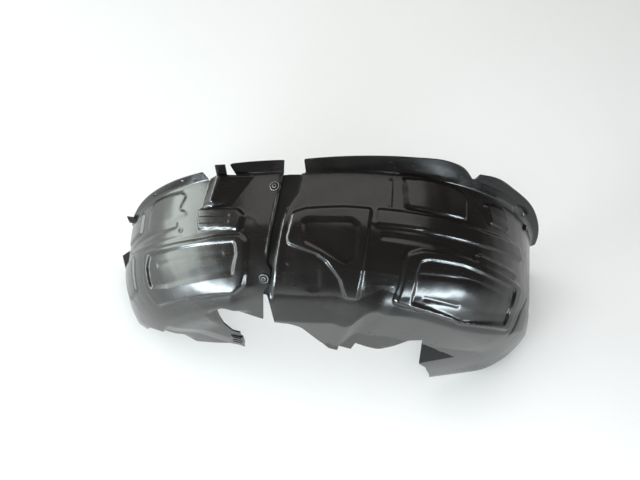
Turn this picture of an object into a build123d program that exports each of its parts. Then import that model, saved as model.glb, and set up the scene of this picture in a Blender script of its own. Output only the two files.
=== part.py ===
from build123d import *
import os
from math import asin, cos, hypot, radians, sin, tan

os.makedirs("parts", exist_ok=True)

# arch: a half barrel about the axle line, which runs along Y through the hub point
hub_x, hub_y, hub_z = 5.29, -62.0, 85.0
crown_r = 378.0
fold_start_y = 69.4
fold_r = 110.0
wall_angle = 75.0
wall_depth = 226.0
sheet_t = 2.6
lift_max = 30.0

# outboard edge and its flange
front_edge_y = 156.0
rear_edge_y = 160.0
rear_edge_turn = 5.0
flange_lean = 18.0
flange_root = 0.6
flange_bead = 2.0
front_flange_h = 26.0
flange_max_h = 48.0

# edges of the narrow front flange and of the rear flange with its lobe: (angle, rise over the crown)
narrow_edge = [(-32, 17.2), (-42, 16), (-55, 12), (-69, 6), (-79, 3)]
tall_edge = [(-8, 26), (5.6, 32), (17.6, 38), (26, 42), (31, 36), (35.5, 19.5)]
lobe_edge = [(36.8, 33), (40, 36.5), (50, 31.3), (60, 26.7), (70, 20), (88, 12.5)]

# screw inboard of the lobe's foot
lobe_screw_angle = 67.0
lobe_screw_inset = 14.0
lobe_screw_head_r = 5.5
lobe_screw_head_t = 3.0
lobe_screw_r = 2.9
lobe_screw_len = 14.0
lobe_screw_washer_r = 7.5
lobe_screw_washer_t = 1.0

# small stops on the front end: corners (distance inside the crown, y)
fin = [(6, 132), (-10, 129), (-21, 119), (-2, 68), (6, 70)]
fin_z = 4.0
peg = [(21, 156), (1, 157), (6, 148), (21, 148)]
peg_z1, peg_z2 = 108.0, 120.0

# upright tab on the tower: feet (angle, rise over the crown) and height
tab_feet = [(-29.0, 12.0), (-26.4, 8.0)]
tab_h = 40.0

# seam between the two sections
seam_x = -94.5
seam_slope = 0.106
seam_gap = 0.3
landing_w = 24.0

# screw holes along the axle through the narrow front flange: (angle, rise over the crown)
screw_hole_r = 3.2
screw_holes = [(-40.5, 11.5), (-53.0, 7.5)]

# embossed panels
panel_h = 6.0
rib_h = 8.0
recess_d = 4.0

# fasteners
clip_hole_r = 3.5
clip_head_r = 7.5
clip_head_t = 2.0
clip_shank_w = 4.6
clip_shank_len = 11.0
clip_seat = 0.25
pin_w = 2.4
pin_head_r = 3.2
pin_head_t = 1.2
pin_gap = 0.1

# spring nut on the front arm
nut_angle = -49.37
nut_depth = 180.1
nut_edge = 10.9
nut_turn = 6.0
nut_len = 20.0
nut_w = 26.0
nut_t = 1.2
nut_gap = 0.2
nut_end_gap = 0.9
nut_ridges = (-8.0, 0.0, 8.0)
nut_ridge_w = 3.0
nut_ridge_h = 1.6

axle = Axis((hub_x, hub_y, hub_z), (0, 1, 0))
rear_turn = Axis((hub_x, hub_y + rear_edge_y, hub_z), (0, 0, 1))
fold_end = radians(wall_angle)
fold_len = fold_r * fold_end


# point (y, r) of the section at distance s inboard of the fold line, raised by lift along the normal
def section(s, lift=0.0):
    turn = min(max(s, 0) / fold_r, fold_end)
    rest = max(s - fold_len, 0)
    y = fold_start_y - min(s, 0) - fold_r * sin(turn) - rest * cos(turn)
    r = crown_r - fold_r * (1 - cos(turn)) - rest * sin(turn)
    return y - lift * sin(turn), r + lift * cos(turn)


# distance s along the section at a given y
def along(y):
    if y >= fold_start_y:
        return fold_start_y - y
    turn = asin(min((fold_start_y - y) / fold_r, sin(fold_end)))
    rest = fold_start_y - fold_r * sin(fold_end) - y
    return fold_r * turn + max(rest, 0) / cos(fold_end)


# point (x, z) at an angle from the crown and a depth under it
def below_crown(angle, depth):
    return (crown_r - depth) * sin(radians(angle)), (crown_r - depth) * cos(radians(angle))


wall_end_s = fold_len + (section(fold_len)[1] - crown_r + wall_depth) / sin(fold_end)
edge_s = along(front_edge_y + 60)


def radial_plane(angle):
    a = radians(angle)
    return Plane((hub_x, hub_y, hub_z), x_dir=(0, 1, 0), z_dir=(cos(a), 0, -sin(a)))


def tangent_plane(angle, height):
    a = radians(angle)
    foot = (hub_x + height * sin(a), hub_y, hub_z + height * cos(a))
    return Plane(foot, x_dir=(cos(a), 0, -sin(a)), z_dir=(sin(a), 0, cos(a)))


def section_curve(s1, s2, lift):
    stops = [s for s in (0, fold_len) if min(s1, s2) < s < max(s1, s2)]
    stops = sorted([s1, s2] + stops, reverse=s1 > s2)
    for a, b in zip(stops, stops[1:]):
        if min(a, b) >= fold_len or max(a, b) <= 0:
            Line(section(a, lift), section(b, lift))
        else:
            ThreePointArc(section(a, lift), section((a + b) / 2, lift), section(b, lift))


# layer of the arch between two lifts and two angles
def layer(a1, a2, low, high, s1=edge_s, s2=wall_end_s):
    with BuildPart() as body:
        with BuildSketch(radial_plane(a1)):
            with BuildLine():
                section_curve(s1, s2, high)
                Line(section(s2, high), section(s2, low))
                section_curve(s2, s1, low)
                Line(section(s1, low), section(s1, high))
            make_face()
        revolve(axis=axle, revolution_arc=a2 - a1)
    return body.part


# part of a layer inside an outline of (angle, y) corners, drawn square to the arch at angle mid
def panel(mid, outline, low, high, corner, grow=0.0):
    angles = [a for a, y in outline]
    with BuildPart() as body:
        with BuildSketch(tangent_plane(mid, 200)) as face:
            with BuildLine():
                corners = [(section(along(y))[1] * sin(radians(a - mid)), y) for a, y in outline]
                Polyline(*corners, close=True)
            make_face()
            if corner:
                fillet(face.vertices(), corner)
            if grow:
                offset(amount=grow, kind=Kind.INTERSECTION, mode=Mode.REPLACE)
        extrude(amount=250)
        add(layer(min(angles) - 6, max(angles) + 6, low, high), mode=Mode.INTERSECT)
    return body.part


# wedge between the arch and a sloping top, inside the tower outline
def tower(drop, grow=0.0):
    a = radians(tower_mid)
    across = Plane((hub_x, hub_y, hub_z), x_dir=(cos(a), 0, -sin(a)), z_dir=(0, -1, 0))
    with BuildPart() as body:
        with BuildSketch(tangent_plane(tower_mid, 200)) as face:
            with BuildLine():
                corners = [(crown_r * sin(radians(t - tower_mid)), y) for t, y in tower_plan]
                Polyline(*corners, close=True)
            make_face()
            if grow:
                offset(amount=grow, kind=Kind.INTERSECTION, mode=Mode.REPLACE)
        extrude(amount=250)
        with BuildSketch(across) as cut:
            with BuildLine():
                across_at = [crown_r * sin(radians(t - tower_mid)) for t, rise in tower_cut]
                heights = [crown_r + rise - drop for t, rise in tower_cut]
                Polyline(*zip(across_at, heights), close=True)
            make_face()
        extrude(amount=250, both=True, mode=Mode.INTERSECT)
    return body.part


# prism along the axle over an outline of (angle, depth under the crown, corner radius)
def slab(outline, y1, y2):
    with BuildPart() as body:
        with BuildSketch(Plane((hub_x, hub_y + y1, hub_z), x_dir=(1, 0, 0), z_dir=(0, 1, 0))) as face:
            with BuildLine():
                corners = [below_crown(angle, depth) for angle, depth, r in outline]
                Polyline(*[(x, -z) for x, z in corners], close=True)
            make_face()
            for (x, z), (angle, depth, r) in zip(corners, outline):
                if r:
                    fillet(face.vertices().sort_by_distance((x, -z))[0], r)
        extrude(amount=y2 - y1)
    return body.part


def plan(points, z1=-200, z2=500):
    with BuildPart() as body:
        with BuildSketch(Plane((hub_x, hub_y, hub_z + z1))):
            with BuildLine():
                Polyline(*points, close=True)
            make_face()
        extrude(amount=z2 - z1)
    return body.part


# flange standing on the outboard edge between two angles, its foot a small bead under the sheet
def flange(edge_y, a1, a2, height):
    lean = radians(flange_lean)
    root_r = section(along(edge_y))[1] - flange_root
    foot, tip = flange_root - sheet_t - flange_bead, height + flange_root
    outer = [(edge_y + q * sin(lean), root_r + q * cos(lean)) for q in (foot, tip)]
    inner = [(y - sheet_t * cos(lean), r + sheet_t * sin(lean)) for y, r in reversed(outer)]
    with BuildPart() as body:
        with BuildSketch(radial_plane(a1)):
            with BuildLine():
                Polyline(*outer, *inner, close=True)
            make_face()
        revolve(axis=axle, revolution_arc=a2 - a1)
    return body.part


# flange cut back to curves through (angle, rise over the crown)
def shaped_flange(edge_y, a1, a2, curves):
    with BuildPart() as body:
        add(flange(edge_y, a1, a2, flange_max_h))
        with BuildSketch(Plane((hub_x, hub_y, hub_z), x_dir=(1, 0, 0), z_dir=(0, 1, 0))):
            with BuildLine():
                ends = []
                for curve in curves:
                    points = [below_crown(t, -rise) for t, rise in curve]
                    points = [(x, -z) for x, z in points]
                    Spline(*points)
                    ends += [points[0], points[-1]]
                first, last = curves[0][0][0], curves[-1][-1][0]
                far = [(last, -300), ((first + last) / 2, -700), (first, -300)]
                far = [below_crown(t, depth) for t, depth in far]
                Polyline(ends[-1], *[(x, -z) for x, z in far], ends[0])
                for start, stop in zip(ends[1:-1:2], ends[2::2]):
                    Line(start, stop)
            make_face()
        extrude(amount=400, mode=Mode.SUBTRACT)
    return body.part


def seam_at(y, shift=0.0):
    return seam_x + seam_slope * y + shift


# frame on the outer face: x along the arch, y outboard, z out of the face
def face_plane(x, y, turn=0.0):
    s = along(y)
    r = section(s)[1]
    a = asin(x / r)
    step = section(s, 1.0)
    b = asin(y - step[0])
    return Plane(
        (hub_x + x, hub_y + y, hub_z + r * cos(a)),
        x_dir=(cos(a), 0, -sin(a)),
        z_dir=(sin(a) * cos(b), -sin(b), cos(a) * cos(b)),
    ).rotated((0, 0, turn))


# frame on the wall face at (x, z): x along the wall at a turn from +X, y out of the face
def wall_plane(x, z, turn, lift=0.0):
    r, b = hypot(x, z), fold_end
    s = fold_len + (section(fold_len)[1] - r) / sin(b)
    out = Vector(x / r * cos(b), -sin(b), z / r * cos(b))
    run = Vector(cos(radians(turn)), 0, sin(radians(turn)))
    run = (run - out * run.dot(out)).normalized()
    foot = Vector(hub_x + x, hub_y + section(s)[0], hub_z + z) + out * lift
    return Plane(foot, x_dir=run, z_dir=run.cross(out))


# raised panels: middle angle, outline of (angle, y), height, corner radius
front_raised = [
    (-39, [(-56, 56), (-20.5, 50), (-21.5, -22), (-59, -14)], panel_h, 14),
    (-48, [(-54, 147), (-41, 142), (-38.5, 97), (-55, 94), (-57, 128)], panel_h, 7),
    (-28, [(-34.6, 98), (-21, 91), (-21.4, 57), (-34.2, 62)], rib_h, 9),
    (-67, [(-73, 140), (-61, 140), (-61, 100), (-73, 100)], panel_h, 0),
    (-70, [(-77, 70), (-65, 66), (-67, 8), (-77, 8)], panel_h, 0),
]
# sunk fields: middle angle, outline, level of the floor, corner radius
front_sunk = [
    (-39, [(-53, 46), (-22.6, 39), (-24.6, -4), (-56, 0)], panel_h - recess_d, 0),
    (-50, [(-60, 84), (-37, 80), (-37, 63), (-60, 67)], -recess_d / 2, 0),
]
rear_raised = [
    (1, [(-8.6, 82), (10, 98), (10, -34), (6.2, -34), (-1, 14), (-9.8, 37)], panel_h, 5),
    (36, [(11.5, 99), (46, 113), (60, 124), (63.5, 102), (41, 82), (11.5, 71)], panel_h, 0),
    (26, [(17.7, 160), (30.5, 166), (36, 150), (36.2, 117), (18.5, 111)], panel_h, 9),
    (48, [(42.6, 160), (51, 167), (54.4, 135), (45, 131)], panel_h, 0),
    (43, [(20.6, -28), (19.6, 42), (34, 53), (63, 55), (66, -10), (45, -30)], panel_h, 12),
    (49, [(40, 75), (57, 82), (59, 70), (41, 62)], panel_h, 0),
]
rear_sunk = [
    (1, [(-5.9, 67), (7.2, 74), (7.4, 14), (4.6, 9), (-5.4, 34)], panel_h - recess_d, 0),
    (43, [(24.4, -10), (23.6, 30), (36, 40), (59, 42), (60, 4), (44, -18)], panel_h - recess_d, 0),
    (-3, [(-5.2, 6), (-1.2, 8), (-1, -28), (-5.4, -29)], -recess_d, 0),
    (23, [(13, 60), (34.5, 67), (35.4, 59), (13, 51)], -recess_d / 2, 0),
]
# wedge tower at the outboard edge: outline of (angle, y) and its top (angle, rise over the crown)
tower_mid = -28
tower_plan = [(-34.6, 175), (-18, 175), (-25.8, 100), (-34.4, 97)]
tower_rise = 20.0
tower_cut = [(-35, -38), (-33.5, tower_rise), (-32.6, tower_rise), (-18.6, -2), (-18.6, -38)]

# openings seen along the axle: corners (angle, depth under the crown, radius)
front_opening = [
    (15, 146, 0), (-24, 135, 0), (-34.1, 91, 12), (-39.3, 94, 9), (-41.5, 111, 9), (-44, 133, 18),
    (-44.6, 156, 0), (-42.1, 165, 0), (-52.8, 206, 0), (-61, 188, 0), (-79.5, 142, 0),
    (-76.1, 112, 12), (-75.8, 84, 12), (-82.8, 57, 20), (-93.4, 39, 0), (-105.9, 12, 0), (149, 261, 0),
]
rear_opening = [
    (-28.6, 107, 0), (-12.9, 132, 20), (-8.8, 143, 30), (-1, 202, 20), (4.4, 222, 0),
    (10.2, 226, 0), (10, 211, 0), (18, 216, 0), (18.1, 195, 0), (25.7, 200, 14), (33.3, 200, 20),
    (38.3, 178, 20), (40.9, 149, 12), (45, 135, 0), (51.3, 154, 0), (70.5, 192, 0), (79.2, 186, 0),
    (100, 171, 0), (115.9, 149, 0), (-127.6, 214, 0),
]
seam_line = [(150, 0), (4, 0), (-4, 8), (-22, 8), (-30, 0), (-120, 0)]
step_line = [(-44, 240), (-48, 158), (-52, 119), (-67, 94), (-73, 70), (-83, -14), (-86, -32)]
seam_clips = [(-91, 128), (-97, -14)]
below_floor = plan([(-600, -600), (600, -600), (600, 600), (-600, 600)], -300, -hub_z)
slope = tan(radians(rear_edge_turn))
screw_x = crown_r * sin(radians(lobe_screw_angle))
lobe_screw_plane = face_plane(screw_x, rear_edge_y + screw_x * slope - lobe_screw_inset)

with BuildPart() as front_hollow:
    add(layer(-115, 0, -60, -sheet_t))
    for mid, outline, height, corner in front_raised:
        add(panel(mid, outline, -50, height - sheet_t, corner, -sheet_t))
    add(tower(sheet_t, -sheet_t))
    for mid, outline, level, corner in front_sunk:
        add(panel(mid, outline, level - sheet_t, lift_max, corner, sheet_t), mode=Mode.SUBTRACT)

with BuildPart() as front_section:
    add(layer(-110, -5, -40, 0))
    for mid, outline, height, corner in front_raised:
        add(panel(mid, outline, -20, height, corner))
    add(tower(0))
    for mid, outline, level, corner in front_sunk:
        add(panel(mid, outline, level, lift_max, corner), mode=Mode.SUBTRACT)
    add(front_hollow.part, mode=Mode.SUBTRACT)
    add(plan([(-600, front_edge_y), (600, front_edge_y), (600, 600), (-600, 600)]), mode=Mode.SUBTRACT)
    add(flange(front_edge_y, -24.5, -10, front_flange_h))
    edge_plane = Plane((hub_x, hub_y + front_edge_y, hub_z), x_dir=(1, 0, 0), z_dir=(0, -1, 0))
    with BuildSketch(edge_plane):
        with BuildLine():
            feet = [below_crown(angle, -rise) for angle, rise in tab_feet]
            Polyline(*feet, *[(x, z + tab_h) for x, z in reversed(feet)], close=True)
        make_face()
    extrude(amount=sheet_t)
    add(shaped_flange(front_edge_y, -78, -33, [narrow_edge]))
    for angle, rise in screw_holes:
        x, z = below_crown(angle, -rise)
        with BuildSketch(Plane((hub_x + x, hub_y, hub_z + z), x_dir=(1, 0, 0), z_dir=(0, 1, 0))):
            Circle(screw_hole_r)
        extrude(amount=260, mode=Mode.SUBTRACT)
    seam_edge = [(seam_at(y, bump), y) for y, bump in [(240, 0)] + seam_line]
    add(plan(seam_edge + [(100, -120), (100, 240)]), mode=Mode.SUBTRACT)
    add(slab(front_opening, -150, 60), mode=Mode.SUBTRACT)
    add(plan([(inside - crown_r, y) for inside, y in fin], fin_z, fin_z + sheet_t))
    add(plan([(inside - crown_r, y) for inside, y in peg], peg_z1, peg_z2))
    add(below_floor, mode=Mode.SUBTRACT)
    for x, y in seam_clips:
        with BuildSketch(face_plane(x, y)):
            Circle(clip_hole_r)
        extrude(amount=15, both=True, mode=Mode.SUBTRACT)

with BuildPart() as rear_hollow:
    add(layer(-30, 115, -60, -sheet_t))
    for mid, outline, height, corner in rear_raised:
        add(panel(mid, outline, -50, height - sheet_t, corner, -sheet_t))
    for mid, outline, level, corner in rear_sunk:
        add(panel(mid, outline, level - sheet_t, lift_max, corner, sheet_t), mode=Mode.SUBTRACT)
    with BuildPart(mode=Mode.SUBTRACT):
        add(layer(-40, 0, -2 * sheet_t - seam_gap, lift_max))
        step = [(x + sheet_t, y) for x, y in step_line]
        add(plan(step + [(-300, -32), (-300, 240)]), mode=Mode.INTERSECT)

with BuildPart() as rear_section:
    add(layer(-24, 110, -40, 0))
    for mid, outline, height, corner in rear_raised:
        add(panel(mid, outline, -20, height, corner))
    for mid, outline, level, corner in rear_sunk:
        add(panel(mid, outline, level, lift_max, corner), mode=Mode.SUBTRACT)
    with BuildPart(mode=Mode.SUBTRACT):
        add(layer(-40, 0, -sheet_t - seam_gap, lift_max))
        add(plan(step_line + [(-300, -32), (-300, 240)]), mode=Mode.INTERSECT)
    add(rear_hollow.part, mode=Mode.SUBTRACT)
    beyond = [(-300, rear_edge_y - 300 * slope), (500, rear_edge_y + 500 * slope), (500, 600), (-300, 600)]
    add(plan(beyond), mode=Mode.SUBTRACT)
    rear_flange = shaped_flange(rear_edge_y, -6.5, 87, [tall_edge, lobe_edge])
    add(rear_flange.rotate(rear_turn, rear_edge_turn))
    landing_end = [(-46, 240), (-48.5, 150), (seam_at(150, -landing_w), 150), (seam_at(-26, -landing_w), -26)]
    landing_end += [(-92, -32), (-80, -60), (-80, -150), (-300, -150), (-300, 240)]
    add(plan(landing_end), mode=Mode.SUBTRACT)
    add(slab(rear_opening, -150, 60), mode=Mode.SUBTRACT)
    add(below_floor, mode=Mode.SUBTRACT)
    for x, y in seam_clips:
        with BuildSketch(face_plane(x, y)):
            Circle(clip_hole_r)
        extrude(amount=15, both=True, mode=Mode.SUBTRACT)
    with BuildSketch(lobe_screw_plane):
        Circle(screw_hole_r)
    extrude(amount=8, both=True, mode=Mode.SUBTRACT)

# push clips of the seam: round head on the front section, square hollow shank through both sheets
with BuildPart() as seam_clip_bodies:
    for x, y in seam_clips:
        with BuildSketch(face_plane(x, y).offset(clip_seat)) as head:
            Circle(clip_head_r)
        extrude(amount=clip_head_t)
        with BuildSketch(face_plane(x, y).offset(clip_seat)):
            Rectangle(clip_shank_w, clip_shank_w)
        extrude(amount=-clip_shank_len)
        with BuildSketch(face_plane(x, y).offset(clip_seat + clip_head_t)):
            Rectangle(pin_w + 2 * pin_gap, pin_w + 2 * pin_gap)
        extrude(amount=-clip_shank_len - clip_head_t, mode=Mode.SUBTRACT)

with BuildPart() as seam_clip_pins:
    for x, y in seam_clips:
        with BuildSketch(face_plane(x, y).offset(clip_seat + clip_head_t + pin_gap)):
            Circle(pin_head_r)
        extrude(amount=pin_head_t)
        with BuildSketch(face_plane(x, y).offset(clip_seat + clip_head_t + pin_gap)):
            Rectangle(pin_w, pin_w)
        extrude(amount=-clip_shank_len - clip_head_t)

# spring nut pushed over the end of the front arm, with stiffening ridges on its outer leaf
with BuildPart() as arm_spring_nut:
    under = -sheet_t - nut_gap
    nut_end = nut_edge + nut_end_gap
    nut_frame = wall_plane(*below_crown(nut_angle, nut_depth), nut_turn)
    with BuildSketch(nut_frame):
        with BuildLine():
            Polyline(
                (nut_end - nut_len, nut_gap),
                (nut_end, nut_gap),
                (nut_end, under),
                (nut_end - nut_len, under),
                (nut_end - nut_len, under - nut_t),
                (nut_end + nut_t, under - nut_t),
                (nut_end + nut_t, nut_gap + nut_t),
                (nut_end - nut_len, nut_gap + nut_t),
                close=True,
            )
        make_face()
    extrude(amount=nut_w / 2, both=True)
    for shift in nut_ridges:
        with BuildSketch(nut_frame.offset(shift - nut_ridge_w / 2)):
            with Locations((nut_end - nut_len / 2, nut_gap + nut_t + nut_ridge_h / 2)):
                Rectangle(nut_len - 4, nut_ridge_h)
        extrude(amount=nut_ridge_w)

# hexagon screw with its washer beside the lobe, head on the outer face
with BuildPart() as lobe_screw:
    with BuildSketch(lobe_screw_plane.offset(pin_gap)):
        Circle(lobe_screw_washer_r)
    extrude(amount=lobe_screw_washer_t)
    under_head = lobe_screw_plane.offset(pin_gap + lobe_screw_washer_t)
    with BuildSketch(under_head):
        RegularPolygon(lobe_screw_head_r, 6)
    extrude(amount=lobe_screw_head_t)
    with BuildSketch(under_head):
        Circle(lobe_screw_r)
    extrude(amount=-lobe_screw_len)

for name, piece in {
    "front_section": front_section,
    "rear_section": rear_section,
    "seam_clip_bodies": seam_clip_bodies,
    "seam_clip_pins": seam_clip_pins,
    "arm_spring_nut": arm_spring_nut,
    "lobe_screw": lobe_screw,
}.items():
    piece.part.label = name
    export_step(piece.part, f"parts/{name}.step")
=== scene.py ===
from math import cos, radians, sin, tan

import bmesh
import bpy
import numpy as np
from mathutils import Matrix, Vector


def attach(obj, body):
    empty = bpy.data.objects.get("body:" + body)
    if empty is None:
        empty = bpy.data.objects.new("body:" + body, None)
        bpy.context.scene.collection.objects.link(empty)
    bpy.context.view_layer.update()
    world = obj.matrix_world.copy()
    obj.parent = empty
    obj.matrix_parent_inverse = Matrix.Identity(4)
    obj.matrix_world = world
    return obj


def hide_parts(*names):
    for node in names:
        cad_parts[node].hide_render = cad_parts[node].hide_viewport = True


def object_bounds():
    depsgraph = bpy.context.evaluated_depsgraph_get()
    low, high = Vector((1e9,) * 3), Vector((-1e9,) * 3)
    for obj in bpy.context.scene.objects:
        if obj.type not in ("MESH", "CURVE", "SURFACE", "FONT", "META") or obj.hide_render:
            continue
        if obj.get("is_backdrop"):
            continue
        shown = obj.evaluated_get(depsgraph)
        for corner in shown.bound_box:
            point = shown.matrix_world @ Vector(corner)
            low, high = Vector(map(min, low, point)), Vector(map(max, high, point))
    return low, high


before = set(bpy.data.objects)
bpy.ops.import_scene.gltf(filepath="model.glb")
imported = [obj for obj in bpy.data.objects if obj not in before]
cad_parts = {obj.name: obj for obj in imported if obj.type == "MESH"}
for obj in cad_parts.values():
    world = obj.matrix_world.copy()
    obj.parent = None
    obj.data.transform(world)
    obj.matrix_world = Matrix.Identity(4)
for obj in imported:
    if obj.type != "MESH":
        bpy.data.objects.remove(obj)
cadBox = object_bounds()
mm = 0.001

# arch: a half barrel about the axle line through the hub, all in millimetres
arch = {
    "hub": (5.29, -62.0, 85.0),
    "crownR": 378.0,
    "foldStartY": 69.4,
    "foldR": 110.0,
    "wallAngle": radians(75),
    "sheet": 2.6,
    "reach": 420.0,        # how far inboard of the flange's root the sheet is laid out
    "rootR": 4.0,          # curve at the foot of the flange
    "rootTurn": radians(72),
    "rootInset": 5.8,      # from the flange's outboard face to the start of that curve
    "step": 2.7,           # spacing of the mesh
    "seamX": -94.5,
    "seamSlope": 0.106,
    "seamGap": 0.3,
    "rootLip": 1.0,        # what is left past the root where there is no flange
    "edgePasses": 4,       # steps that close in on the exact cut edge
    "rootFade": 3.0,       # the embossing fades in over this distance each side of the flange's root
    "openingY": 60.0,      # the openings are cut only inboard of this
    "far": 1e3,            # distance that stands for nowhere near
}
# unevenness of the moulded sheet: two crossing waves over angle and s, fading out on the wall
ripple = {"height": 0.12, "first": (0.83, 0.041), "second": (-0.37, 0.097), "end": 120.0, "fade": 40.0}
hub = np.array(arch["hub"])
foldLen = arch["foldR"] * arch["wallAngle"]
clipSpots = [(-91, 128), (-97, -14)]
clipHoleR = 3.5


# y, radius and turn of the section at distance s inboard of the fold's start
def sectionAt(s):
    turn = np.clip(s, 0, foldLen) / arch["foldR"]
    rest = np.maximum(s - foldLen, 0)
    y = arch["foldStartY"] - np.minimum(s, 0) - arch["foldR"] * np.sin(turn) - rest * np.cos(turn)
    r = arch["crownR"] - arch["foldR"] * (1 - np.cos(turn)) - rest * np.sin(turn)
    return y, r, turn


def alongAt(y):
    over = (arch["foldStartY"] - y) / arch["foldR"]
    if over < 0:
        return arch["foldStartY"] - y
    turn = np.arcsin(min(over, sin(arch["wallAngle"])))
    rest = arch["foldStartY"] - arch["foldR"] * sin(arch["wallAngle"]) - y
    return arch["foldR"] * turn + max(rest, 0) / cos(arch["wallAngle"])


def belowCrown(angle, depth):
    r = arch["crownR"] - depth
    return r * sin(radians(angle)), r * cos(radians(angle))


# outline with its corners rounded, each corner (x, y) with its own radius
def roundCorners(outline, radii, steps=6):
    points = [np.array(p, float) for p in outline]
    done = []
    for k, p in enumerate(points):
        a, b = points[k - 1] - p, points[(k + 1) % len(points)] - p
        la, lb = np.linalg.norm(a), np.linalg.norm(b)
        a, b = a / la, b / lb
        half = np.arccos(np.clip(a @ b, -1, 1)) / 2
        reach = min(radii[k] / max(np.tan(half), 1e-3), 0.48 * la, 0.48 * lb)
        if radii[k] <= 0 or reach < 0.2:
            done.append(tuple(p))
            continue
        for t in np.linspace(0, 1, steps):
            done.append(tuple(p + a * reach * (1 - t) ** 2 + b * reach * t**2))
    return done


def segmentDistance2(x, y, p, q):
    ex, ey = q[0] - p[0], q[1] - p[1]
    t = np.clip(((x - p[0]) * ex + (y - p[1]) * ey) / max(ex * ex + ey * ey, 1e-9), 0, 1)
    return (x - p[0] - t * ex) ** 2 + (y - p[1] - t * ey) ** 2


# distance to a closed outline, positive inside
def insideDistance(x, y, outline):
    nearest = np.full(np.shape(x), 1e12)
    inside = np.zeros(np.shape(x), bool)
    for p, q in zip(outline, outline[1:] + outline[:1]):
        nearest = np.minimum(nearest, segmentDistance2(x, y, p, q))
        if q[1] != p[1]:
            crosses = (p[1] > y) != (q[1] > y)
            inside ^= crosses & (x < (q[0] - p[0]) * (y - p[1]) / (q[1] - p[1]) + p[0])
    return np.where(inside, 1, -1) * np.sqrt(nearest)


def lineDistance(x, y, points):
    nearest = np.full(np.shape(x), 1e12)
    for p, q in zip(points, points[1:]):
        nearest = np.minimum(nearest, segmentDistance2(x, y, p, q))
    return np.sqrt(nearest)


def smooth(t):
    t = np.clip(t, 0, 1)
    return t * t * (3 - 2 * t)


# smooth curve through points, each (x, value)
def throughPoints(x, points):
    xs, values = np.array(points, float).T
    slopes = np.gradient(values, xs)
    k = np.clip(np.searchsorted(xs, x) - 1, 0, len(xs) - 2)
    span = xs[k + 1] - xs[k]
    t = np.clip((x - xs[k]) / span, 0, 1)
    rise = values[k] * (1 + 2 * t) * (1 - t) ** 2 + values[k + 1] * t * t * (3 - 2 * t)
    return rise + span * (slopes[k] * t * (1 - t) ** 2 - slopes[k + 1] * t * t * (1 - t))


# place of (angle, s) corners on the sheet rolled flat about the angle mid
def rolledFlat(mid, corners):
    return [(sectionAt(np.array(float(s)))[1] * radians(a - mid), s) for a, s in corners]


# height of the embossing over the plain barrel
def embossing(theta, s, section):
    r = sectionAt(s)[1]
    angle = np.degrees(theta)
    h = np.zeros(np.shape(theta))
    for mid, corners, level, corner, edge in section["panels"]:
        outline = roundCorners(rolledFlat(mid, corners), [corner] * len(corners))
        d = insideDistance(r * np.radians(angle - mid), s, outline)
        h += (level - h) * smooth(d / edge + 0.5)
    for corners, height, width in section["ribs"]:
        mid = corners[0][0]
        d = lineDistance(r * np.radians(angle - mid), s, rolledFlat(mid, corners))
        h += height * np.exp(-((d / width) ** 2))
    for angle0, s0, depth, radius in section["dimples"]:
        d2 = (r * np.radians(angle - angle0)) ** 2 + (s - s0) ** 2
        h -= depth * np.exp(-d2 / radius**2)
    (turn1, run1), (turn2, run2) = ripple["first"], ripple["second"]
    wave = np.sin(angle * turn1 + s * run1) * np.sin(s * run2 + angle * turn2)
    return h + ripple["height"] * wave * smooth((ripple["end"] - s) / ripple["fade"])


# outer and inner point of the sheet at an angle and a distance p inboard of the flange's root
def sheetAt(theta, p, section):
    edgeY = section["edgeY"] + section["slant"] * arch["crownR"] * np.sin(theta)
    s = arch["foldStartY"] - edgeY + arch["rootInset"] + np.maximum(p, 0)
    y, r, turn = sectionAt(s)
    q = np.maximum(-p, 0)
    bend = np.minimum(q / arch["rootR"], arch["rootTurn"])
    straight = np.maximum(q - arch["rootR"] * arch["rootTurn"], 0)
    rise = arch["rootR"] * (1 - np.cos(bend)) + straight * sin(arch["rootTurn"])
    y = y + arch["rootR"] * np.sin(bend) + straight * cos(arch["rootTurn"])
    y = y + section["slant"] * rise * np.sin(theta)
    r = r + rise
    tilt = turn + bend
    fadeIn = smooth((p / arch["rootFade"] + 1) / 2)
    lift = embossing(theta, s, section) * fadeIn + section["shape"](theta, s, p, r, y)
    across, out = -np.sin(tilt), np.cos(tilt)

    def point(high):
        radius = r + high * out
        return np.stack([radius * np.sin(theta), y + high * across, radius * np.cos(theta)], -1)

    return point(lift), point(lift - arch["sheet"]), s


# flange between two angles under an upper edge of (angle, rise over the crown): distance inside it
def flangeDistance(theta, outer, first, last, edges, corner):
    angle = np.degrees(theta)
    rise = throughPoints(angle, edges[0])
    for left, edge in zip(edges, edges[1:]):
        rise = np.where(angle < (left[-1][0] + edge[0][0]) / 2, rise, throughPoints(angle, edge))
    half = arch["crownR"] * radians(last - first) / 2
    side = np.abs(arch["crownR"] * (theta - radians(first + last) / 2)) - half + corner
    top = np.hypot(outer[..., 0], outer[..., 2]) - arch["crownR"] - rise + corner
    out = np.hypot(np.maximum(side, 0), np.maximum(top, 0)) + np.minimum(np.maximum(side, top), 0)
    return corner - out


def upFlange(p):
    straight = -p - arch["rootR"] * arch["rootTurn"]
    return straight + arch["rootR"] * tan(arch["rootTurn"] / 2)


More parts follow.
